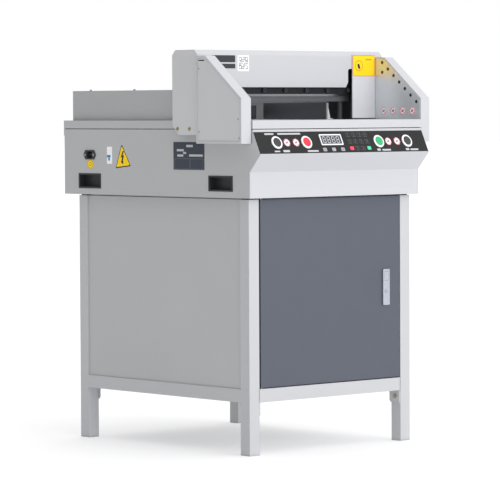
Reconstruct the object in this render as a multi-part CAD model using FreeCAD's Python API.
import FreeCAD, Part
import math
import os

V = FreeCAD.Vector
os.makedirs("parts", exist_ok=True)

# Electric guillotine paper cutter on a cabinet stand. Millimetres.
# X to the operator's right, Y to the back, Z up. Origin on the floor, under the centre of the whole machine.

# ---------------------------------------------------------------- driving dimensions: overall
cut_width = 450.0          # widest sheet between the side guides
side_room = 125.0          # side guide face to the outside of the case
front_depth = 273.0        # console lip to the knife plane
rear_depth = 653.0         # knife plane to the back edge of the table
stand_height = 767.0       # floor to the underside of the case
case_height = 231.0        # underside of the case to the table top
head_height = 211.5        # table top to the top of the head

# ---------------------------------------------------------------- driving dimensions: sheets and clearances
case_sheet = 1.5
table_sheet = 3.0
cover_sheet = 1.5
panel_sheet = 1.2
base_sheet = 3.0
seam = 2.0                 # open seam between two covers
slack = 0.5                # plain clearance between pieces that never touch
running = 0.05             # radial clearance of a shaft in its bearing

# ---------------------------------------------------------------- driving dimensions: stand
leg_tube = 40.0
leg_wall = 2.0
rail_bottom = 158.0
stand_side_inset = 16.0    # case side to the outside of the leg
stand_front_inset = 70.0   # console lip to the front of the leg
stand_rear_inset = 56.0    # table's back edge to the back of the leg
panel_recess = 4.0         # outside of the leg to the cabinet panel
case_gap = 4.0             # open gap between the legs and the case
foot_flange = 4.0
foot_insert = 22.0
pad_plug = 12.0
pad_inset = 5.0            # outside of the leg to the pad on top of it
bracket_sheet = 4.0
bracket_height = 39.0
bracket_edge = 1.0          # outer face of the leg to the tab's edge
bracket_overhang = 5.0      # tab past the leg's inner face
bracket_corner = 6.0
bracket_bolt_drop = 18.0    # rail's underside to the bolt

# ---------------------------------------------------------------- driving dimensions: door and its lock
door_gap = 3.0             # at the free edge and the bottom
hinge_gap = 7.0            # at the hinge side
door_depth = 18.0
door_recess = 1.0
hinge_pin_radius = 2.5
hinge_pin_length = 15.0
hinge_from_edge = 6.0
hinge_from_face = 5.0
lock_plate_width = 28.0
lock_plate_height = 111.0
lock_plate_thickness = 5.0
lock_from_edge = 60.0      # door's free edge to the lock's centre line
lock_centre_height = 481.5
lock_key_drop = 13.5       # plate's centre down to the key cylinder
lock_key_radius = 6.0
lock_flap_height = 28.0
lock_flap_width = 18.0
cam_width = 16.0
cam_length = 50.0
cam_thickness = 3.0

# ---------------------------------------------------------------- driving dimensions: case and console
apron_setback = 47.0
apron_height = 77.5
lip_height = 130.0
panel_rise = 67.0
panel_run = 32.5
table_edge = 25.2          # depth of the table's turned-down edge at the front and sides
table_back_edge = 48.0
cup_width = 110.0
cup_height = 47.0
cup_depth = 24.0
cup_wall = 2.0
cup_rim = 3.0
cup_rise = 19.0            # case underside to the bottom of a cup
front_cup_setback = 122.0
rear_cup_inset = 74.0
inlet_inset = 130.0        # table's back edge to the inlet's centre
inlet_rise = 124.0
inlet_flange_width = 60.0
inlet_flange_height = 29.0

# ---------------------------------------------------------------- driving dimensions: console parts
overlay_thickness = 0.8
button_along = 38.0        # up the slanted panel from the lip
cut_button_inset = 80.0
round_button_x = 150.0
button_radius = 14.4
button_travel = 3.0
button_proud = 4.5
button_body = 12.0
bezel_radius = 20.5
bezel_height = 3.0
bezel_clearance = 0.35
display_x = -47.0
display_along = 45.0
display_width = 90.0
display_height = 36.0
key_width = 15.0
key_height = 11.5
key_pitch = 24.0
keypad_x = 65.0
small_key_pitch = 37.0

# ---------------------------------------------------------------- driving dimensions: head
head_front_room = 32.0     # knife plane to the front of the head
head_rear_room = 84.0      # knife plane to the back of the head
head_chamfer = 15.0
head_overhang = 34.0       # head stands out past the case on each side
head_face_drop = 112.0     # top of the head to the lower edge of its front cover
face_hem = 16.0            # lowest strip of the front cover, folded back a little
face_hem_set = 1.0           # the hem's lower edge, back from the face
head_top_room = 20.0       # top of the head to the top of the frames
end_cover_sheet = 2.0
end_cover_drop = 43.5      # end covers hang below the table top
end_cover_bevel = 28.0
column_inset = 28.0        # side guide face to the inner edge of the white column cover
column_cover_depth = 3.0
column_cover_gap = 4.0
column_cover_drop = 10.5   # top of the head to the top of the right column cover
guard_clear = 2.6
guard_width = 38.4
inner_panel_sheet = 1.0
inner_panel_inset = 3.5
guard_length = 204.0
guard_drop = 69.0
guard_top_drop = 18.5
guard_top_length = 43.0
guard_nose_rise = 65.0
guard_plate_inset = 8.0
guard_edge_radius = 2.4
lens_radius = 5.2
lens_count = 8

# ---------------------------------------------------------------- driving dimensions: knife and its drive
knife_thickness = 10.0
knife_height = 95.0
knife_overlap = 10.0       # knife reaches past the sheet at both ends of its stroke
carrier_thickness = 14.0
carrier_height = 121.0
knife_gap_above_table = 72.0
knife_side_travel = 20.0
knife_stop_gap = 0.3
knife_bolt_pitch = 88.0
knife_bolt_count = 6
frame_thickness = 20.0
frame_depth = 71.0
shoulder_length = 52.0     # the side frame's low rear part, on the table
guide_block_width = 16.0
guide_block_length = 24.0
guide_clearance = 0.1
crank_rise = 78.0
crank_thickness = 18.0
crank_margin = 11.0
crank_pin_radius = 8.0
shaft_radius = 10.0
gearbox_size = 80.0
shaft_seat = 30.0
motor_length = 150.0
rod_width = 22.0
rod_thickness = 9.0
rod_lean = 15.0

# ---------------------------------------------------------------- driving dimensions: clamp and back gauge
clamp_depth = 36.0
clamp_height = 66.0
clamp_gap_above_table = 56.0
clamp_stop_gap = 0.5
tie_rod_radius = 8.0
tie_rod_outset = 33.0
yoke_height = 30.0
yoke_depth = 30.0
yoke_drop = 48.0
clamp_screw_radius = 8.0
stick_width = 18.0
stick_height = 12.0
channel_wall = 3.0
channel_floor = 6.0
guide_height = 52.0
guide_length = 301.0
fence_side_gap = 3.0
fence_height = 45.0
fence_thickness = 10.0
fence_rest = 380.0         # knife plane to the fence's face at rest
gauge_forward = 310.0
gauge_backward = 165.0
gauge_rod_radius = 8.0
gauge_rod_x = 45.0
gauge_drop = 58.0
gauge_screw_radius = 8.0
gauge_motor_drop = 60.0
pulley_radius = 14.0
belt_thickness = 1.5
belt_width = 8.0
rear_guard_inset = 15.0
rear_guard_rise = 92.5
rear_guard_back_inset = 28.0
guard_flange = 20.0
window_thickness = 3.0
peg_spacing = 214.0

# ---------------------------------------------------------------- places worked out from the sizes
cut_half = cut_width / 2
case_x = cut_half + side_room
inner_x = case_x - case_sheet
lip_y = -(front_depth + rear_depth) / 2
back_y = -lip_y
knife_y = lip_y + front_depth
case_z = stand_height
table_z = case_z + case_height
top_z = table_z + head_height

apron_y = lip_y + apron_setback
ledge_y = lip_y + panel_run
rear_wall_y = back_y - table_sheet
apron_top_z = case_z + apron_height
lip_z = case_z + lip_height
ledge_z = lip_z + panel_rise
ledge_top_z = table_z - table_edge - seam
under_table_z = table_z - table_sheet

stand_top = case_z - case_gap
leg_x = case_x - stand_side_inset
leg_front_y = lip_y + stand_front_inset
leg_back_y = back_y - stand_rear_inset
bay_x = leg_x - leg_tube
bay_front_y = leg_front_y + leg_tube
bay_back_y = leg_back_y - leg_tube
rail_top = rail_bottom + leg_tube
panel_outer_x = leg_x - panel_recess
panel_inner_x = panel_outer_x - panel_sheet
panel_back_y = leg_back_y - panel_recess

door_half = bay_x - door_gap
door_bottom = rail_top + door_gap
door_top = stand_top - slack
hinge_edge_x = hinge_gap - bay_x
door_face_y = leg_front_y + door_recess
door_back_y = door_face_y + door_depth
hinge_x = hinge_edge_x + hinge_from_edge
hinge_y = door_face_y + hinge_from_face
lock_x = door_half - lock_from_edge
key_z = lock_centre_height - lock_key_drop
strike_y = door_back_y + slack
strike_thickness = 1.5
cam_y = strike_y + strike_thickness + 1.0

cup_front_y = lip_y + front_cup_setback
cup_rear_y = back_y - rear_cup_inset - cup_width
cup_z = case_z + cup_rise
inlet_y = back_y - inlet_inset
inlet_z = case_z + inlet_rise
cut_button_x = case_x - cut_button_inset

head_x = case_x + head_overhang
head_front_y = knife_y - head_front_room
head_back_y = knife_y + head_rear_room
column_x = cut_half + column_inset
guard_in_x = case_x + guard_clear
guard_out_x = guard_in_x + guard_width
guard_bottom = table_z - guard_drop
guard_top = top_z - guard_top_drop
guard_front_y = head_front_y - guard_length

carrier_back_y = knife_y - 4.0
carrier_front_y = carrier_back_y - carrier_thickness
knife_back_y = carrier_back_y + knife_thickness
edge_z = table_z + knife_gap_above_table
carrier_z = edge_z + 7.0
knife_drop = knife_gap_above_table - knife_stop_gap
knife_travel = math.hypot(knife_side_travel, knife_drop)
frame_front_y = knife_back_y + 1.0
frame_in_x = cut_half + 73.0
frame_out_x = frame_in_x + frame_thickness
guide_x = frame_in_x + frame_thickness / 2
guide_z = carrier_z + 18.0
crank_x = cut_half + 25.0
crank_z = case_z + crank_rise
crank_radius = knife_travel / 2
stroke_x = knife_side_travel / knife_travel
stroke_z = knife_drop / knife_travel
pin_x = crank_x + crank_radius * stroke_x
pin_z = crank_z + crank_radius * stroke_z
eye_x = pin_x + rod_lean
eye_z = carrier_z + 33.0
rod_back_y = carrier_front_y - 2.0
rod_front_y = rod_back_y - rod_thickness
crank_front_y = carrier_front_y
crank_back_y = crank_front_y + crank_thickness

clamp_front_y = knife_back_y + 3.0
clamp_back_y = clamp_front_y + clamp_depth
clamp_mid_y = (clamp_front_y + clamp_back_y) / 2
gearbox_y = clamp_mid_y + yoke_depth / 2 + 6.0
clamp_z = table_z + clamp_gap_above_table
clamp_travel = clamp_gap_above_table - clamp_stop_gap
clamp_x = frame_in_x - 20.0
tie_rod_x = cut_half + tie_rod_outset
yoke_top = table_z - yoke_drop
yoke_bottom = yoke_top - yoke_height
channel_front_y = knife_y - stick_width / 2 - channel_wall + 2.0
channel_back_y = channel_front_y + stick_width + 2 * channel_wall
channel_bottom = table_z - stick_height - channel_floor
side_guide_y = clamp_back_y + 4.0
gauge_z = table_z - gauge_drop
fence_y = knife_y + fence_rest
neck_front_y = fence_y + 39.0
carriage_front_y = fence_y + 33.0
carriage_length = 32.0
carriage_back_y = carriage_front_y + carriage_length
front_bracket_y = carriage_front_y - gauge_forward - 5.0
bracket_thickness = 12.0
rear_bracket_y = carriage_back_y + gauge_backward + 5.0
motor_z = gauge_z - gauge_motor_drop
rear_guard_x = case_x - rear_guard_inset
rear_guard_y = back_y - rear_guard_back_inset
rear_guard_z = table_z + rear_guard_rise


# ---------------------------------------------------------------- helpers
def box(x0, x1, y0, y1, z0, z1):
    return Part.makeBox(x1 - x0, y1 - y0, z1 - z0, V(x0, y0, z0))


def rod(x, y, z, radius, length, direction):
    return Part.makeCylinder(radius, length, V(x, y, z), direction)


def extrude(corners, direction):
    wire = Part.makePolygon(corners + [corners[0]])
    return Part.Face(wire).extrude(direction)


def slab_x(outline, x0, x1):
    """A plate whose outline lies in the Y-Z plane."""
    return extrude([V(x0, y, z) for y, z in outline], V(x1 - x0, 0, 0))


def slab_y(outline, y0, y1):
    """A plate whose outline lies in the X-Z plane."""
    return extrude([V(x, y0, z) for x, z in outline], V(0, y1 - y0, 0))


def slab_z(outline, z0, z1):
    """A plate whose outline lies in the X-Y plane."""
    return extrude([V(x, y, z0) for x, y in outline], V(0, 0, z1 - z0))


def fuse(solids):
    whole = solids[0].fuse(solids[1:]) if len(solids) > 1 else solids[0]
    return whole.removeSplitter()


def cut(solid, tools):
    return solid.cut(Part.makeCompound(tools))


def both_sides(solids):
    mirrored = [solid.mirror(V(0, 0, 0), V(1, 0, 0)) for solid in solids]
    return solids + mirrored


def offset_path(points, distance):
    """The points moved sideways to the left of their path, with mitred corners."""
    moved = []
    for index, (a, b) in enumerate(points):
        normals = []
        for start, end in ((index - 1, index), (index, index + 1)):
            if start < 0 or end >= len(points):
                continue
            da = points[end][0] - points[start][0]
            db = points[end][1] - points[start][1]
            length = math.hypot(da, db)
            normals.append((-db / length, da / length))
        na = sum(n[0] for n in normals) / len(normals)
        nb = sum(n[1] for n in normals) / len(normals)
        scale = distance / (na * na + nb * nb)
        moved.append((a + na * scale, b + nb * scale))
    return moved


def folded_sheet(points, thickness, x0, x1):
    """Sheet metal bent along X: its outer surface follows the points, its thickness lies to their left."""
    return slab_x(points + offset_path(points, thickness)[::-1], x0, x1)


def hex_head(x, y, z, radius, height, direction):
    """Six-sided screw head standing on the given point."""
    corners = [V(radius * math.cos(i * math.pi / 3), radius * math.sin(i * math.pi / 3),
                 0) for i in range(6)]
    head = extrude(corners, V(0, 0, height))
    head.Placement = FreeCAD.Placement(V(x, y, z), FreeCAD.Rotation(V(0, 0, 1), direction))
    return head


def pan_head(x, y, z, radius, height, direction):
    """Low round screw head with a cross recess of one slot."""
    head = Part.makeCylinder(radius, height)
    head = head.makeChamfer(height * 0.4, [head.Edges[0]])
    slot = Part.makeBox(radius * 1.3, radius * 0.28, height * 0.5,
                        V(-radius * 0.65, -radius * 0.14, height * 0.5))
    head = head.cut(slot)
    head.Placement = FreeCAD.Placement(V(x, y, z), FreeCAD.Rotation(V(0, 0, 1), direction))
    return head


def obround(x, z, half_length, radius, tilt, y0, y1):
    """A straight-sided slot shape in the X-Z plane, its long way tilted from upright towards +X."""
    bar = box(-radius, radius, y0, y1, -half_length, half_length)
    ends = [rod(0, y0, s * half_length, radius, y1 - y0, V(0, 1, 0)) for s in (-1, 1)]
    shape = fuse([bar] + ends)
    shape.rotate(V(0, 0, 0), V(0, 1, 0), tilt)
    shape.translate(V(x, 0, z))
    return shape


def on_panel(shape):
    """Carries a shape drawn flat (X across, Y up the panel, Z outward) to the slanted console panel."""
    length = math.hypot(panel_run, panel_rise)
    up = V(0, panel_run / length, panel_rise / length)
    out = V(0, -panel_rise / length, panel_run / length)
    turn = FreeCAD.Rotation(V(1, 0, 0), up, out, "ZXY")
    placed = shape.copy()
    placed.Placement = FreeCAD.Placement(V(0, lip_y, lip_z), turn).multiply(shape.Placement)
    return placed


# ---------------------------------------------------------------- stand
def leg_corners():
    return [(sx, y) for sx in (-1, 1) for y in (leg_front_y, bay_back_y)]


def leg_box(sx, y, z0, z1, wall):
    x0, x1 = sorted((sx * bay_x, sx * leg_x))
    return box(x0 + wall, x1 - wall, y + wall, y + leg_tube - wall, z0, z1)


def stand_legs():
    legs = []
    for sx, y in leg_corners():
        tube = leg_box(sx, y, foot_flange, stand_top, 0)
        legs.append(tube.cut(leg_box(sx, y, foot_flange, stand_top, leg_wall)))
    return legs


def leg_feet():
    """Plugs in the tube ends: a foot under each leg, and on top a pad that holds the case off the leg."""
    feet = []
    for sx, y in leg_corners():
        flange = leg_box(sx, y, 0, foot_flange, 0)
        insert = leg_box(sx, y, foot_flange, foot_flange + foot_insert, leg_wall)
        feet.append(fuse([flange, insert]))
        plug = leg_box(sx, y, stand_top - pad_plug, stand_top, leg_wall)
        pad = leg_box(sx, y, stand_top, case_z, pad_inset)
        feet.append(fuse([plug, pad]))
    return feet


def tube_x(x0, x1, y0, y1, z0, z1):
    return box(x0, x1, y0, y1, z0, z1).cut(box(x0, x1, y0 + leg_wall, y1 - leg_wall, z0 + leg_wall,
                                               z1 - leg_wall))


def tube_y(x0, x1, y0, y1, z0, z1):
    return box(x0, x1, y0, y1, z0, z1).cut(box(x0 + leg_wall, x1 - leg_wall, y0, y1, z0 + leg_wall,
                                               z1 - leg_wall))


def stand_rails():
    """Four lower rails, and four upper rails with a narrow bar on each that carries the case."""
    upper = stand_top - leg_tube
    bar_inset = 8.0
    side_bar = box(bay_x + bar_inset, panel_inner_x - bar_inset, bay_front_y, bay_back_y, stand_top, case_z)
    rails = both_sides([
        tube_y(bay_x, leg_x, bay_front_y, bay_back_y, rail_bottom, rail_top),
        fuse([tube_y(bay_x, panel_inner_x, bay_front_y, bay_back_y, upper, stand_top), side_bar]),
    ])
    rails.append(tube_x(-bay_x, bay_x, leg_front_y, bay_front_y, rail_bottom, rail_top))
    rails.append(tube_x(-bay_x, bay_x, bay_back_y, leg_back_y, rail_bottom, rail_top))
    for y0, y1 in ((door_back_y + 2.0, bay_front_y + door_depth), (bay_back_y, panel_back_y - panel_sheet)):
        bar = box(-bay_x, bay_x, y0 + bar_inset, y1 - bar_inset, stand_top, case_z)
        rails.append(fuse([tube_x(-bay_x, bay_x, y0, y1, upper, stand_top), bar]))
    return rails


def cabinet_panels():
    sides = both_sides([box(panel_inner_x, panel_outer_x, bay_front_y, bay_back_y, rail_top, stand_top)])
    back = box(-bay_x, bay_x, panel_back_y - panel_sheet, panel_back_y, rail_top, stand_top)
    floor = box(-panel_inner_x, panel_inner_x, door_back_y + 2.0, panel_back_y - panel_sheet,
                rail_top, rail_top + panel_sheet)
    floor = cut(floor, [leg_box(sx, y, 0, case_z, 0) for sx, y in leg_corners()])
    return sides + [back, floor]


def stand_brackets():
    """Tabs under the ends of the cross rails, bolted to the legs, and the strike that the door's cam turns behind."""
    brackets = []
    for y, inward in ((leg_front_y, 1), (leg_back_y, -1)):
        outer = y + inward * bracket_edge
        inner = y + inward * (leg_tube + bracket_overhang)
        corner = inner - inward * bracket_corner
        foot = rail_bottom - bracket_height
        outline = [(outer, rail_bottom), (inner, rail_bottom), (inner, foot + bracket_corner),
                   (corner, foot), (outer, foot)]
        brackets += both_sides([slab_x(outline, bay_x - bracket_sheet, bay_x)])
    strike_half = 14.0
    strike = box(bay_x - 26.0, bay_x, strike_y, strike_y + strike_thickness, key_z - strike_half,
                 key_z + strike_half)
    return brackets + [strike]


def door_hinge_pins():
    lower = rod(hinge_x, hinge_y, rail_top, hinge_pin_radius, hinge_pin_length, V(0, 0, 1))
    upper = rod(hinge_x, hinge_y, case_z, hinge_pin_radius, hinge_pin_length, V(0, 0, -1))
    return [lower, upper]


# ---------------------------------------------------------------- cabinet door
def door_panel():
    shell = box(hinge_edge_x, door_half, door_face_y, door_back_y, door_bottom, door_top)
    hollow = box(hinge_edge_x + panel_sheet, door_half - panel_sheet, door_face_y + panel_sheet, door_back_y,
                 door_bottom + panel_sheet, door_top - panel_sheet)
    pin_hole = rod(hinge_x, hinge_y, door_bottom - 1, hinge_pin_radius + running, door_top - door_bottom + 2,
                   V(0, 0, 1))
    key_hole = rod(lock_x, door_face_y - 1, key_z, lock_key_radius + running, panel_sheet + 2, V(0, 1, 0))
    return [cut(shell, [hollow, pin_hole, key_hole])]


def lock_flap_limits():
    top = lock_centre_height + lock_plate_height / 2 - 7.5
    return top - lock_flap_height, top


def door_lock_plate():
    half = lock_plate_width / 2
    z0 = lock_centre_height - lock_plate_height / 2
    plate = box(lock_x - half, lock_x + half, door_face_y - lock_plate_thickness, door_face_y,
                z0, z0 + lock_plate_height)
    upright = [edge for edge in plate.Edges if abs(edge.tangentAt(0).y) > 0.9]
    plate = plate.makeFillet(4.0, upright)
    flap_bottom, flap_top = lock_flap_limits()
    side = lock_flap_width / 2 + slack
    pocket = box(lock_x - side, lock_x + side, door_face_y - lock_plate_thickness - 1, door_face_y - 0.6,
                 flap_bottom - slack, flap_top + 2 * slack)
    key_hole = rod(lock_x, door_face_y - lock_plate_thickness - 1, key_z, lock_key_radius + running,
                   lock_plate_thickness + 2, V(0, 1, 0))
    return [cut(plate, [pocket, key_hole])]


def door_lock_handle():
    bottom, top = lock_flap_limits()
    half = lock_flap_width / 2
    face = door_face_y - lock_plate_thickness
    flap = box(lock_x - half, lock_x + half, face, face + 1.6, bottom, top)
    dimple = Part.makeSphere(20.0, V(lock_x, face - 19.4, (bottom + top) / 2 - 2.0))
    return [flap.cut(dimple)]


def door_lock_cylinder():
    front = door_face_y - lock_plate_thickness - 1.5
    barrel = rod(lock_x, front, key_z, lock_key_radius, cam_y - front, V(0, 1, 0))
    slot = box(lock_x - 0.7, lock_x + 0.7, front - 1, front + 4.0, key_z - 4.0, key_z + 4.0)
    return [barrel.cut(slot)]


def door_lock_cam():
    half = cam_width / 2
    hub = rod(lock_x, cam_y, key_z, half, cam_thickness, V(0, 1, 0))
    arm = box(lock_x - half, lock_x + half, cam_y, cam_y + cam_thickness, key_z, key_z + cam_length)
    return [fuse([hub, arm])]


# ---------------------------------------------------------------- case
def side_outline():
    return [(apron_y, case_z), (apron_y, apron_top_z), (lip_y, lip_z), (ledge_y, ledge_z),
            (ledge_y, ledge_top_z),
            (rear_wall_y, ledge_top_z), (rear_wall_y, case_z)]


def cup_centres():
    z = cup_z + cup_height / 2
    return [(cup_front_y + cup_width / 2, z), (cup_rear_y + cup_width / 2, z)]


def base_plate():
    plate = box(-inner_x, inner_x, apron_y + case_sheet, rear_wall_y - case_sheet, case_z,
                case_z + base_sheet)
    return [plate]


def end_screw_places():
    z = table_z - 25.0
    return [(head_back_y - 24.0, z), (head_back_y - 79.0, z)]


def case_sides():
    cup_holes = []
    for y, z in cup_centres():
        half_w = cup_width / 2 - cup_rim
        half_h = cup_height / 2 - cup_rim
        cup_holes.append(box(inner_x - 5, case_x + 5, y - half_w, y + half_w, z - half_h, z + half_h))
    screw_holes = [rod(inner_x - 5, y, z, 3.0, 20, V(1, 0, 0)) for y, z in end_screw_places()]
    right = slab_x(side_outline(), inner_x, case_x)
    right = cut(right, cup_holes + screw_holes)
    left = right.mirror(V(0, 0, 0), V(1, 0, 0))
    left = left.cut(box(-case_x - 5, -inner_x + 5, inlet_y - 15.0, inlet_y + 15.0, inlet_z - 12.0,
                        inlet_z + 12.0))
    return [left, right]


def console_button_places():
    return [(-cut_button_x, button_along), (-round_button_x, button_along), (round_button_x, button_along),
            (cut_button_x, button_along)]


def front_console():
    path = [(apron_y, case_z), (apron_y, apron_top_z), (lip_y, lip_z), (ledge_y, ledge_z),
            (ledge_y, ledge_top_z)]
    sheet = folded_sheet(path[::-1], case_sheet, -inner_x, inner_x)
    depth = 12.0
    holes = []
    for x, along in console_button_places():
        barrel = button_radius + bezel_clearance + 2.0
        holes.append(on_panel(rod(x, along, -depth / 2, barrel, depth, V(0, 0, 1))))
    holes.append(on_panel(display_opening(-depth / 2, depth / 2)))
    return [cut(sheet, holes)]


def case_rear():
    wall = box(-inner_x, inner_x, rear_wall_y - case_sheet, rear_wall_y, case_z, ledge_top_z)
    slots = []
    for column in (-1, 1):
        for row in range(6):
            z = case_z + 60.0 + row * 14.0
            x = column * 180.0
            slots.append(box(x - 60.0, x + 60.0, rear_wall_y - 5, rear_wall_y + 5, z, z + 5.0))
    return [cut(wall, slots)]


def carry_handle_cups():
    cups = []
    for y, z in cup_centres():
        outer_w = cup_width / 2 - cup_rim
        outer_h = cup_height / 2 - cup_rim
        rim = box(case_x, case_x + 1.2, y - cup_width / 2, y + cup_width / 2, z - cup_height / 2,
                  z + cup_height / 2)
        pan = box(case_x - cup_depth - cup_wall, case_x, y - outer_w, y + outer_w, z - outer_h, z + outer_h)
        hollow = box(case_x - cup_depth, case_x + 5, y - outer_w + cup_wall, y + outer_w - cup_wall,
                     z - outer_h + cup_wall, z + outer_h - cup_wall)
        cups.append(cut(fuse([rim, pan]), [hollow]))
    return both_sides(cups)


def power_inlet():
    """Mains inlet: a flange with pointed ends, a socket with three blades, and two flange screws."""
    w = inlet_flange_width / 2
    h = inlet_flange_height / 2
    point = 9.0
    outline = [(inlet_y - w, inlet_z), (inlet_y - w + point, inlet_z - h),
               (inlet_y + w - point, inlet_z - h),
               (inlet_y + w, inlet_z), (inlet_y + w - point, inlet_z + h), (inlet_y - w + point,
                                                                            inlet_z + h)]
    flange = slab_x(outline, -case_x - 2.5, -case_x)
    body = box(-case_x, -case_x + 28.0, inlet_y - 15.0, inlet_y + 15.0, inlet_z - 12.0, inlet_z + 12.0)
    socket = box(-case_x - 5, -case_x + 16.0, inlet_y - 12.5, inlet_y + 12.5, inlet_z - 10.0, inlet_z + 10.0)
    blades = []
    for y, z in ((-7.0, -2.0), (0.0, 2.5), (7.0, -2.0)):
        blades.append(box(-case_x, -case_x + 16.0, inlet_y + y - 1.0, inlet_y + y + 1.0,
                          inlet_z + z - 2.0, inlet_z + z + 2.0))
    screws = [pan_head(-case_x - 2.5, inlet_y + side * 20.0, inlet_z, 3.2, 1.6,
                       V(-1, 0, 0)) for side in (-1, 1)]
    return [cut(fuse([flange, body]), [socket])] + blades + screws


# ---------------------------------------------------------------- console
def display_opening(z0, z1):
    half_w = display_width / 2 - 4.0
    half_h = display_height / 2 - 4.0
    return box(display_x - half_w, display_x + half_w, display_along - half_h, display_along + half_h, z0,
               z1)


def console_overlay():
    length = math.hypot(panel_run, panel_rise)
    film = box(-case_x + 1.0, case_x - 1.0, 2.5, length - 1.0, 0, overlay_thickness)
    holes = [rod(x, along, -1, button_radius + bezel_clearance + 2.0, 5, V(0, 0, 1))
             for x, along in console_button_places()]
    return [on_panel(cut(film, holes + [display_opening(-1, 5)]))]


def console_bezels():
    """White rings round the four buttons, each with a barrel through the panel, and the display's frame."""
    rings = []
    for x, along in console_button_places():
        bore = button_radius + bezel_clearance
        ring = rod(x, along, overlay_thickness, bezel_radius, bezel_height, V(0, 0, 1))
        ring = ring.makeChamfer(1.2, [ring.Edges[0]])
        barrel = rod(x, along, -8.0, bore + 2.0, 8.0 + overlay_thickness, V(0, 0, 1))
        hole = rod(x, along, -10.0, bore, 20.0, V(0, 0, 1))
        rings.append(on_panel(cut(fuse([ring, barrel]), [hole])))
    half_w = display_width / 2
    half_h = display_height / 2
    rim = box(display_x - half_w, display_x + half_w, display_along - half_h, display_along + half_h,
              overlay_thickness, overlay_thickness + 2.0)
    rim = rim.makeFillet(3.0, [edge for edge in rim.Edges if abs(edge.tangentAt(0).z) > 0.9])
    return rings + [on_panel(cut(rim, [display_opening(-1, 5)]))]


def display_window():
    return [on_panel(display_opening(-case_sheet, overlay_thickness + 1.0))]


def keypad_keys():
    """Raised pads of the membrane: three under the display and the number pad beside it."""
    places = [(display_x + column * small_key_pitch, 13.0) for column in (-1, 0, 1)]
    for row in range(3):
        for column in range(4):
            x = keypad_x + (column - 1.5) * key_pitch
            places.append((x, 61.0 - row * 22.5))
    pads = []
    for x, along in places:
        pad = box(x - key_width / 2, x + key_width / 2, along - key_height / 2, along + key_height / 2,
                  overlay_thickness, overlay_thickness + 0.8)
        pads.append(on_panel(pad))
    return pads


def button(x):
    cap = rod(x, button_along, -button_body, button_radius, button_body + overlay_thickness + button_proud,
              V(0, 0, 1))
    cap = cap.makeFillet(1.5, [cap.Edges[0]])
    return [on_panel(cap)]


def control_board():
    """Switch blocks behind the four buttons, and the circuit board behind the display and keys."""
    pieces = []
    for x, along in console_button_places():
        top = -button_body - button_travel - slack
        pieces.append(on_panel(box(x - 14.0, x + 14.0, along - 14.0, along + 14.0, top - 22.0, top)))
    pieces.append(on_panel(box(display_x - 50.0, keypad_x + 50.0, 8.0, 66.0, -9.6, -8.0)))
    for x in (display_x - 40.0, keypad_x + 40.0):
        for along in (12.0, 62.0):
            pieces.append(on_panel(rod(x, along, -8.0, 2.5, 8.0 - case_sheet, V(0, 0, 1))))
    return pieces


# ---------------------------------------------------------------- tables
def front_table():
    top = box(-case_x, case_x, ledge_y, channel_front_y, under_table_z, table_z)
    edge = box(-case_x, case_x, ledge_y, ledge_y + table_sheet, table_z - table_edge, table_z)
    sides = both_sides([box(case_x - table_sheet, case_x, ledge_y, channel_front_y, table_z - table_edge,
                            table_z)])
    rod_slot = box(crank_x - rod_width / 2 - 2.0, eye_x + 2 * rod_width, rod_front_y - 2.0,
                   channel_front_y + 1,
                   under_table_z - 1, table_z + 1)
    return [cut(fuse([top, edge] + sides), [rod_slot])]


def stick_channel():
    half = frame_in_x - 15.0
    outer = box(-half, half, channel_front_y, channel_back_y, channel_bottom, table_z)
    groove = box(-half - 1, half + 1, channel_front_y + channel_wall, channel_back_y - channel_wall,
                 table_z - stick_height, table_z + 1)
    return [outer.cut(groove)]


def cutting_stick():
    half = cut_half + 20.0
    return [box(-half, half, channel_front_y + channel_wall, channel_back_y - channel_wall,
                table_z - stick_height, table_z)]


def rear_table():
    top = box(-case_x, case_x, channel_back_y, back_y, under_table_z, table_z)
    edge = box(-case_x, case_x, rear_wall_y, back_y, table_z - table_back_edge, table_z)
    sides = both_sides([box(case_x - table_sheet, case_x, channel_back_y, back_y, table_z - table_edge,
                            table_z)])
    frame_notches = both_sides([box(frame_in_x - slack, frame_out_x + slack, channel_back_y - 1,
                                    frame_front_y + frame_depth + slack, under_table_z - 1, table_z + 1)])
    rod_holes = both_sides([rod(tie_rod_x, clamp_mid_y, under_table_z - 1, tie_rod_radius + 1.0, 10,
                                V(0, 0, 1))])
    slot = box(-12.0, 12.0, neck_front_y - gauge_forward - 4.0, neck_front_y + 24.0 + gauge_backward,
               under_table_z - 1, table_z + 1)
    screw_holes = both_sides([rod(inner_x - 5, y, z, 3.0, 20, V(1, 0, 0)) for y, z in end_screw_places()])
    return [cut(fuse([top, edge] + sides), frame_notches + rod_holes + screw_holes + [slot])]


def side_guides():
    wall = box(cut_half, cut_half + 3.0, side_guide_y, side_guide_y + guide_length, table_z,
               table_z + guide_height)
    foot = box(cut_half, cut_half + 22.0, side_guide_y, side_guide_y + guide_length, table_z, table_z + 3.0)
    gusset = slab_y([(cut_half, table_z), (cut_half + 13.0, table_z), (cut_half + 3.0, table_z + 36.0),
                     (cut_half, table_z + 36.0)], side_guide_y, side_guide_y + 6.0)
    return both_sides([fuse([wall, foot, gusset])])


def rear_guard():
    half = rear_guard_x
    outer = box(-half, half, head_back_y, rear_guard_y, table_z, rear_guard_z)
    inner = box(-half + cover_sheet, half - cover_sheet, head_back_y - 1, rear_guard_y - cover_sheet,
                table_z - 1,
                rear_guard_z - cover_sheet)
    window = box(-half + guard_flange, half - guard_flange, head_back_y + guard_flange,
                 rear_guard_y - guard_flange,
                 table_z - 1, rear_guard_z + 1)
    pegs = [rod(x, y, rear_guard_z - 5, 2.0, 10, V(0, 0, 1)) for x, y in guard_peg_places()]
    return [cut(outer, [inner, window] + pegs)]


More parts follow.
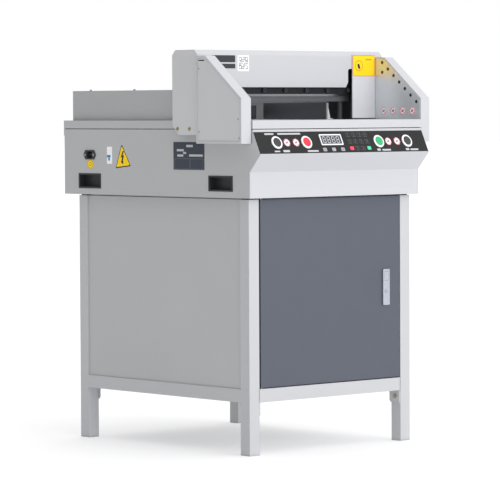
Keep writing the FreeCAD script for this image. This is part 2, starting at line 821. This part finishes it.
def guard_peg_places():
    middle = (head_back_y + rear_guard_y) / 2 + 86.0
    x = rear_guard_x - guard_flange / 2
    return [(sx * x, middle + sy * peg_spacing / 2) for sx in (-1, 1) for sy in (-1, 1)]


def rear_guard_window():
    edge = 3.0
    sheet = box(-rear_guard_x + edge, rear_guard_x - edge, head_back_y + edge, rear_guard_y - edge,
                rear_guard_z - cover_sheet - window_thickness, rear_guard_z - cover_sheet)
    return [cut(sheet, [rod(x, y, rear_guard_z - 10, 2.0, 20, V(0, 0, 1)) for x, y in guard_peg_places()])]


# ---------------------------------------------------------------- head
def side_frames():
    """Cast side frames from the base plate up into the head, each with a low shoulder behind it."""
    back = frame_front_y + frame_depth
    plate = box(frame_in_x, frame_out_x, frame_front_y, back, case_z + base_sheet, top_z - head_top_room)
    shoulder = box(frame_in_x, frame_out_x, back, back + shoulder_length, table_z,
                   rear_guard_z - cover_sheet - 2 * window_thickness)
    return both_sides([fuse([plate, shoulder])])


def top_beam():
    return [box(-frame_in_x, frame_in_x, frame_front_y + 3.0, frame_front_y + 63.0,
                clamp_z + clamp_height + 5.0, top_z - head_top_room)]


def knife_guide_blocks():
    tilt = math.degrees(math.atan2(knife_side_travel, knife_drop))
    half = (guide_block_length - guide_block_width) / 2
    return [obround(side * guide_x, guide_z, half, guide_block_width / 2, tilt, carrier_front_y,
                    frame_front_y)
            for side in (-1, 1)]


def head_outline():
    c = head_chamfer
    bottom = top_z - head_face_drop
    return [(head_front_y + face_hem_set, bottom), (head_front_y, bottom + face_hem),
            (head_front_y, top_z - c), (head_front_y + c, top_z),
            (head_back_y - c, top_z), (head_back_y, top_z - c), (head_back_y, rear_guard_z + 1.0)]


def head_cover():
    x = head_x - end_cover_sheet
    sheet = folded_sheet(head_outline()[::-1], cover_sheet, -x, x)
    bottom = top_z - head_face_drop
    slot_left = column_x - 16.0
    round_radius = 8.0
    slot_top = top_z - 54.5
    y0 = head_front_y - 2.0
    y1 = head_front_y + 4.0
    slot = [slab_y([(slot_left - 9.0, bottom - 1), (slot_left, bottom + 16.0),
                    (slot_left, slot_top - round_radius),
                    (column_x + 8.0, slot_top - round_radius), (column_x + 8.0, bottom - 1)], y0, y1),
            rod(slot_left + round_radius, y0, slot_top - round_radius, round_radius, y1 - y0, V(0, 1, 0)),
            box(slot_left + round_radius, column_x + 8.0, y0, y1, slot_top - 2 * round_radius, slot_top)]
    return [cut(sheet, [fuse(slot)])]


def head_end_covers():
    bottom = table_z - end_cover_drop
    b = end_cover_bevel
    c = head_chamfer
    outline = [(head_front_y, bottom), (head_back_y - b, bottom), (head_back_y, bottom + b),
               (head_back_y, top_z - c), (head_back_y - c, top_z), (head_front_y + c, top_z),
               (head_front_y, top_z - c)]
    plate = slab_x(outline, head_x - end_cover_sheet, head_x)
    back = box(case_x + slack, head_x - end_cover_sheet, head_back_y - cover_sheet, head_back_y, bottom + b,
               rear_guard_z + 1.0)
    screw_holes = [rod(head_x - 10, y, z, 3.0, 20, V(1, 0, 0)) for y, z in end_screw_places()]
    return both_sides([cut(fuse([plate, back]), screw_holes)])


def column_covers():
    """The right cover reaches up beside the slot that the knife carrier moves in; the left one stops under the head."""
    x0 = column_x
    x1 = guard_in_x - inner_panel_sheet - slack
    y0 = head_front_y - column_cover_depth
    z0 = table_z + column_cover_gap
    covers = []
    for side, z1 in ((1, top_z - column_cover_drop), (-1, top_z - head_face_drop + face_hem)):
        shell = box(x0, x1, y0, head_front_y, z0, z1)
        hollow = box(x0 + cover_sheet, x1 - cover_sheet, y0 + cover_sheet, head_front_y + 1, z0 - 1,
                     z1 - cover_sheet)
        cover = shell.cut(hollow)
        covers.append(cover if side > 0 else cover.mirror(V(0, 0, 0), V(1, 0, 0)))
    return covers


def guard_outline(inset):
    """The light guard's side profile, brought in evenly by the inset."""
    rear = head_front_y - inset
    front = guard_front_y + inset
    bottom = guard_bottom + inset
    top = guard_top - inset
    brow_y = head_front_y - guard_top_length
    nose_z = table_z + guard_nose_rise
    dy = brow_y - guard_front_y
    dz = guard_top - nose_z
    slope = math.hypot(dy, dz)
    shift_y = inset * dz / slope
    shift_z = inset * dy / slope
    brow = (brow_y + shift_y + (inset - shift_z) * dy / dz * -1, top)
    nose = (front, nose_z - shift_z + (inset - shift_y) * dz / dy)
    return [(rear, bottom), (rear, top), brow, nose, (front, bottom)]


def guard_shells():
    block = slab_x(guard_outline(0.0), guard_in_x, guard_out_x)
    block = block.makeFillet(guard_edge_radius,
                             [edge for edge in block.Edges if edge.BoundBox.XMin > guard_out_x - 1])
    hollow = slab_x(guard_outline(cover_sheet), guard_in_x + cover_sheet, guard_out_x - cover_sheet)
    mouth = slab_x(guard_outline(guard_plate_inset), guard_out_x - cover_sheet - 1, guard_out_x + 1)
    windows = [rod(guard_in_x - 1, y, z, lens_radius, cover_sheet + 2, V(1, 0, 0)) for y, z in lens_places()]
    return both_sides([cut(block, [hollow, mouth] + windows)])


def guard_screw_places():
    return [(head_front_y - 13.0, guard_top - 39.0), (head_front_y - 13.0, guard_bottom + 35.0),
            (guard_front_y + 16.0, table_z + 4.0), (guard_front_y + 12.0, guard_bottom + 17.0)]


def guard_plates():
    """Flat outer plates of the guards, seated behind the shells' rims, each with a short finger slot."""
    rim_x = guard_out_x - cover_sheet
    plate = slab_x(guard_outline(cover_sheet + slack), rim_x - cover_sheet, rim_x)
    slot = box(guard_out_x - 5, guard_out_x + 5, head_front_y - 37.0, head_front_y - 11.0, guard_top - 15.5,
               guard_top - 12.5)
    return both_sides([plate.cut(slot)])


def guard_inner_panels():
    plate = slab_x(guard_outline(inner_panel_inset), guard_in_x - inner_panel_sheet, guard_in_x)
    windows = [rod(guard_in_x - 5, y, z, lens_radius, 10, V(1, 0, 0)) for y, z in lens_places()]
    return both_sides([cut(plate, windows)])


def lens_places():
    """One lens high at the back, the others in a line down the sloping front edge."""
    places = [(head_front_y - 34.5, guard_top - 46.5), (head_front_y - 34.5, guard_top - 16.0)]
    for step in range(lens_count - 2):
        places.append((head_front_y - 60.0 - step * 25.1, guard_top - 36.5 - step * 20.5))
    return places


def light_curtain_lenses():
    return both_sides([rod(guard_in_x - 1.4, y, z, lens_radius, 6.0, V(1, 0, 0)) for y, z in lens_places()])


def machine_screws():
    """Brass screws of the end covers, the guards' small screws, the rear guard's pegs and the stand's bolts."""
    screws = []
    for y, z in end_screw_places():
        shank = rod(inner_x, y, z, 3.0, head_x - inner_x, V(1, 0, 0))
        screws.append(fuse([shank, pan_head(head_x, y, z, 5.5, 2.4, V(1, 0, 0))]))
    for y, z in guard_screw_places():
        screws.append(pan_head(guard_out_x - cover_sheet, y, z, 2.6, 1.0, V(1, 0, 0)))
    screws = both_sides(screws)
    for x, y in guard_peg_places():
        shank = rod(x, y, rear_guard_z - cover_sheet - window_thickness - 3.0, 2.0,
                    cover_sheet + window_thickness + 3.0, V(0, 0, 1))
        screws.append(fuse([shank, rod(x, y, rear_guard_z, 3.5, 4.0, V(0, 0, 1))]))
    bolts = []
    for y in (leg_front_y + leg_tube / 2, leg_back_y - leg_tube / 2):
        bolts.append(hex_head(bay_x - bracket_sheet, y, rail_bottom - bracket_bolt_drop, 6.5, 4.5,
                              V(-1, 0, 0)))
    return screws + both_sides(bolts)


# ---------------------------------------------------------------- knife and its drive
def knife_ends():
    middle = knife_side_travel / 2
    half = cut_half + knife_overlap + knife_side_travel / 2 - 5.0
    return middle - half, middle + half


def knife_carrier():
    left = -guide_x - 22.0
    right = guide_x + knife_side_travel + 17.0
    plate = box(left, right, carrier_front_y, carrier_back_y, carrier_z, carrier_z + carrier_height)
    tilt = math.degrees(math.atan2(knife_side_travel, knife_drop))
    half = (guide_block_length - guide_block_width) / 2 + knife_travel / 2 + 1.0
    slots = []
    for side in (-1, 1):
        x = side * guide_x + knife_side_travel / 2
        z = guide_z + knife_drop / 2
        slots.append(obround(x, z, half, guide_block_width / 2 + guide_clearance, tilt, carrier_front_y - 1,
                             carrier_back_y + 1))
    bolt_holes = [rod(x, carrier_front_y - 1, z, 4.0, carrier_thickness + 2, V(0, 1, 0))
                  for x, z in knife_bolt_places()]
    return [cut(plate, slots + bolt_holes)]


def knife_bolt_places():
    middle = knife_side_travel / 2 + 16.0
    z = carrier_z + 11.0
    return [(middle + (i - (knife_bolt_count - 1) / 2) * knife_bolt_pitch,
             z) for i in range(knife_bolt_count)]


def knife():
    """Steel blade, flat towards the clamp, ground to its edge on the carrier side."""
    left, right = knife_ends()
    grind = 26.0
    outline = [(knife_back_y, edge_z), (knife_back_y, edge_z + knife_height),
               (carrier_back_y, edge_z + knife_height),
               (carrier_back_y, edge_z + grind), (knife_back_y - 0.4, edge_z)]
    blade = slab_x(outline, left, right)
    holes = [rod(x, carrier_back_y - 1, z, 4.0, knife_thickness - 2, V(0, 1, 0)) for x,
             z in knife_bolt_places()]
    return [cut(blade, holes)]


def knife_bolts():
    bolts = []
    for x, z in knife_bolt_places():
        shank = rod(x, carrier_front_y, z, 4.0, carrier_thickness + 5.0, V(0, 1, 0))
        head = rod(x, carrier_front_y - 6.0, z, 6.5, 6.0, V(0, 1, 0))
        socket = hex_head(x, carrier_front_y - 2.5, z, 3.5, 4.0, V(0, -1, 0))
        bolts.append(fuse([shank, head]).cut(socket))
    return bolts


def crank_disc():
    radius = crank_radius + crank_margin
    disc = rod(crank_x, crank_front_y, crank_z, radius, crank_thickness, V(0, 1, 0))
    pin = rod(pin_x, rod_front_y - 2.0, pin_z, crank_pin_radius, crank_front_y - rod_front_y + 4.0,
              V(0, 1, 0))
    shaft = rod(crank_x, crank_back_y, crank_z, shaft_radius, gearbox_y + shaft_seat - crank_back_y,
                V(0, 1, 0))
    return [fuse([disc, pin, shaft])]


def connecting_rod():
    """Two eyes and a bar. The top eye's short pin stops just in front of the knife carrier."""
    eye_radius = crank_pin_radius + 6.0
    lower = rod(pin_x, rod_front_y, pin_z, eye_radius, rod_thickness, V(0, 1, 0))
    upper = rod(eye_x, rod_front_y, eye_z, eye_radius, rod_thickness, V(0, 1, 0))
    stub = rod(eye_x, rod_back_y, eye_z, crank_pin_radius, carrier_front_y - rod_back_y - slack, V(0, 1, 0))
    dx = eye_x - pin_x
    dz = eye_z - pin_z
    length = math.hypot(dx, dz)
    sx = dz / length * rod_width / 2
    sz = -dx / length * rod_width / 2
    bar = slab_y([(pin_x - sx, pin_z - sz), (pin_x + sx, pin_z + sz), (eye_x + sx, eye_z + sz),
                  (eye_x - sx, eye_z - sz)], rod_front_y, rod_back_y)
    bore = rod(pin_x, rod_front_y - 1, pin_z, crank_pin_radius + running, rod_thickness + 2, V(0, 1, 0))
    return [fuse([lower, upper, stub, bar]).cut(bore)]


def drive_gearmotor():
    """Gearbox behind the clamp's yoke, on a foot from the base, with the motor along X."""
    half = gearbox_size / 2
    foot_half = half - 10.0
    middle_y = gearbox_y + half
    gearbox = box(crank_x - half, crank_x + half, gearbox_y, gearbox_y + gearbox_size, crank_z - half,
                  crank_z + half)
    foot = box(crank_x - foot_half, crank_x + foot_half, middle_y - foot_half, middle_y + foot_half,
               case_z + base_sheet, crank_z - half)
    bore = rod(crank_x, gearbox_y - 1, crank_z, shaft_radius + running, shaft_seat + 2, V(0, 1, 0))
    motor = rod(crank_x - half, middle_y, crank_z, half - 4.0, motor_length, V(-1, 0, 0))
    return [fuse([gearbox, foot]).cut(bore), motor]


# ---------------------------------------------------------------- paper clamp
def clamp_beam():
    beam = box(-clamp_x, clamp_x, clamp_front_y, clamp_back_y, clamp_z, clamp_z + clamp_height)
    relief = box(-clamp_x - 1, clamp_x + 1, clamp_front_y + 8.0, clamp_back_y - 8.0, clamp_z + 14.0,
                 clamp_z + clamp_height + 1)
    posts = both_sides([box(tie_rod_x - 14.0, clamp_x, clamp_front_y + 8.0, clamp_back_y - 8.0,
                            clamp_z + 14.0,
                            clamp_z + 40.0)])
    return [fuse([beam.cut(relief)] + posts)]


def clamp_yoke():
    """Cross bar under the table with its two tie rods up to the clamp beam."""
    half = tie_rod_x + 15.0
    bar = box(-half, half, clamp_mid_y - yoke_depth / 2, clamp_mid_y + yoke_depth / 2, yoke_bottom, yoke_top)
    nut = rod(0, clamp_mid_y, yoke_bottom - 1, clamp_screw_radius + running, yoke_height + 2, V(0, 0, 1))
    rods = both_sides([rod(tie_rod_x, clamp_mid_y, yoke_top, tie_rod_radius, clamp_z - yoke_top,
                           V(0, 0, 1))])
    return [bar.cut(nut)] + rods


def clamp_screw():
    bottom = yoke_bottom - clamp_travel - 4.5
    return [rod(0, clamp_mid_y, bottom, clamp_screw_radius, yoke_top + 25.0 - bottom, V(0, 0, 1))]


def clamp_motor():
    top = yoke_bottom - clamp_travel - 5.0
    body = rod(0, clamp_mid_y, case_z + base_sheet + 6.0, 31.0, top - case_z - base_sheet - 6.0, V(0, 0, 1))
    foot = box(-38.0, 38.0, clamp_mid_y - 38.0, clamp_mid_y + 38.0, case_z + base_sheet,
               case_z + base_sheet + 6.0)
    return [body, foot]


# ---------------------------------------------------------------- back gauge
def back_gauge():
    half = cut_half - fence_side_gap
    fence = box(-half, half, fence_y, fence_y + fence_thickness, table_z + 2.0, table_z + fence_height)
    foot = box(-60.0, 60.0, fence_y + fence_thickness, neck_front_y + 20.0, table_z + 2.0, table_z + 8.0)
    neck = box(-10.0, 10.0, neck_front_y, neck_front_y + 20.0, gauge_z + 15.0, table_z + 8.0)
    return [fuse([fence, foot, neck])]


def gauge_carriage():
    half = gauge_rod_x + 16.0
    block = box(-half, half, carriage_front_y, carriage_back_y, gauge_z - 15.0, gauge_z + 15.0)
    bores = [rod(x, carriage_front_y - 1, gauge_z, radius + running, carriage_length + 2, V(0, 1, 0))
             for x, radius in ((-gauge_rod_x, gauge_rod_radius), (0, gauge_screw_radius),
                               (gauge_rod_x, gauge_rod_radius))]
    return [cut(block, bores)]


def gauge_rails():
    """Two round rods between a front and a rear bracket hung from the table."""
    half = gauge_rod_x + 16.0
    front = box(-half, half, front_bracket_y - bracket_thickness, front_bracket_y, gauge_z - 15.0,
                under_table_z)
    rear = box(-half, half, rear_bracket_y, rear_bracket_y + bracket_thickness, motor_z - 30.0,
               under_table_z)
    screw_bore = rod(0, front_bracket_y - 50, gauge_z, gauge_screw_radius + running,
                     rear_bracket_y - front_bracket_y + 100, V(0, 1, 0))
    shaft_bore = rod(0, rear_bracket_y - 1, motor_z, 6.0, bracket_thickness + 2, V(0, 1, 0))
    rods = both_sides([rod(gauge_rod_x, front_bracket_y, gauge_z, gauge_rod_radius,
                           rear_bracket_y - front_bracket_y, V(0, 1, 0))])
    return [front.cut(screw_bore), cut(rear, [screw_bore, shaft_bore])] + rods


def pulley(z, bore):
    y = rear_bracket_y + bracket_thickness + 1.0
    wheel = rod(0, y, z, pulley_radius, belt_width + 1.0, V(0, 1, 0))
    return wheel.cut(rod(0, y - 1, z, bore, belt_width + 3.0, V(0, 1, 0)))


def gauge_screw():
    start = front_bracket_y - bracket_thickness + 2.0
    end = rear_bracket_y + bracket_thickness + belt_width + 2.0
    return [rod(0, start, gauge_z, gauge_screw_radius, end - start, V(0, 1, 0)),
            pulley(gauge_z, gauge_screw_radius)]


def gauge_motor():
    body = box(-28.0, 28.0, rear_bracket_y - 56.0, rear_bracket_y, motor_z - 28.0, motor_z + 28.0)
    return [body]


def motor_pulley():
    start = rear_bracket_y + 0.5
    end = rear_bracket_y + bracket_thickness + belt_width + 2.0
    return [fuse([rod(0, start, motor_z, 4.0, end - start, V(0, 1, 0)), pulley(motor_z, 4.0)])]


def gauge_belt():
    y0 = rear_bracket_y + bracket_thickness + 1.5
    inner = pulley_radius + 0.1
    middle = (gauge_z + motor_z) / 2
    half = (gauge_z - motor_z) / 2
    loop = obround(0, middle, half, inner + belt_thickness, 0, y0, y0 + belt_width)
    return [loop.cut(obround(0, middle, half, inner, 0, y0 - 1, y0 + belt_width + 1))]


# ---------------------------------------------------------------- every node, one STEP file each
nodes = {
    "stand_legs": stand_legs(),
    "leg_feet": leg_feet(),
    "stand_rails": stand_rails(),
    "cabinet_panels": cabinet_panels(),
    "stand_brackets": stand_brackets(),
    "door_hinge_pins": door_hinge_pins(),
    "door_panel": door_panel(),
    "door_lock_plate": door_lock_plate(),
    "door_lock_handle": door_lock_handle(),
    "door_lock_cylinder": door_lock_cylinder() + door_lock_cam(),
    "base_plate": base_plate(),
    "case_sides": case_sides(),
    "front_console": front_console(),
    "case_rear": case_rear(),
    "carry_handle_cups": carry_handle_cups(),
    "power_inlet": power_inlet(),
    "console_overlay": console_overlay(),
    "console_bezels": console_bezels(),
    "display_window": display_window(),
    "keypad_keys": keypad_keys(),
    "control_board": control_board(),
    "cut_button_left": button(-cut_button_x),
    "cut_button_right": button(cut_button_x),
    "power_button": button(-round_button_x),
    "reset_button": button(round_button_x),
    "front_table": front_table(),
    "stick_channel": stick_channel(),
    "cutting_stick": cutting_stick(),
    "rear_table": rear_table(),
    "side_guides": side_guides(),
    "rear_guard": rear_guard(),
    "rear_guard_window": rear_guard_window(),
    "side_frames": side_frames(),
    "top_beam": top_beam(),
    "knife_guide_blocks": knife_guide_blocks(),
    "head_cover": head_cover(),
    "head_end_covers": head_end_covers(),
    "column_covers": column_covers(),
    "guard_shells": guard_shells(),
    "guard_plates": guard_plates(),
    "guard_inner_panels": guard_inner_panels(),
    "light_curtain_lenses": light_curtain_lenses(),
    "machine_screws": machine_screws(),
    "knife_carrier": knife_carrier(),
    "knife": knife(),
    "knife_bolts": knife_bolts(),
    "crank_disc": crank_disc(),
    "connecting_rod": connecting_rod(),
    "drive_gearmotor": drive_gearmotor(),
    "clamp_beam": clamp_beam(),
    "clamp_yoke": clamp_yoke(),
    "clamp_screw": clamp_screw(),
    "clamp_motor": clamp_motor(),
    "back_gauge": back_gauge(),
    "gauge_carriage": gauge_carriage(),
    "gauge_rails": gauge_rails(),
    "gauge_screw": gauge_screw(),
    "gauge_motor": gauge_motor(),
    "motor_pulley": motor_pulley(),
    "gauge_belt": gauge_belt(),
}

for name, solids in nodes.items():
    shape = solids[0] if len(solids) == 1 else Part.makeCompound(solids)
    shape.exportStep(os.path.join("parts", name + ".step"))
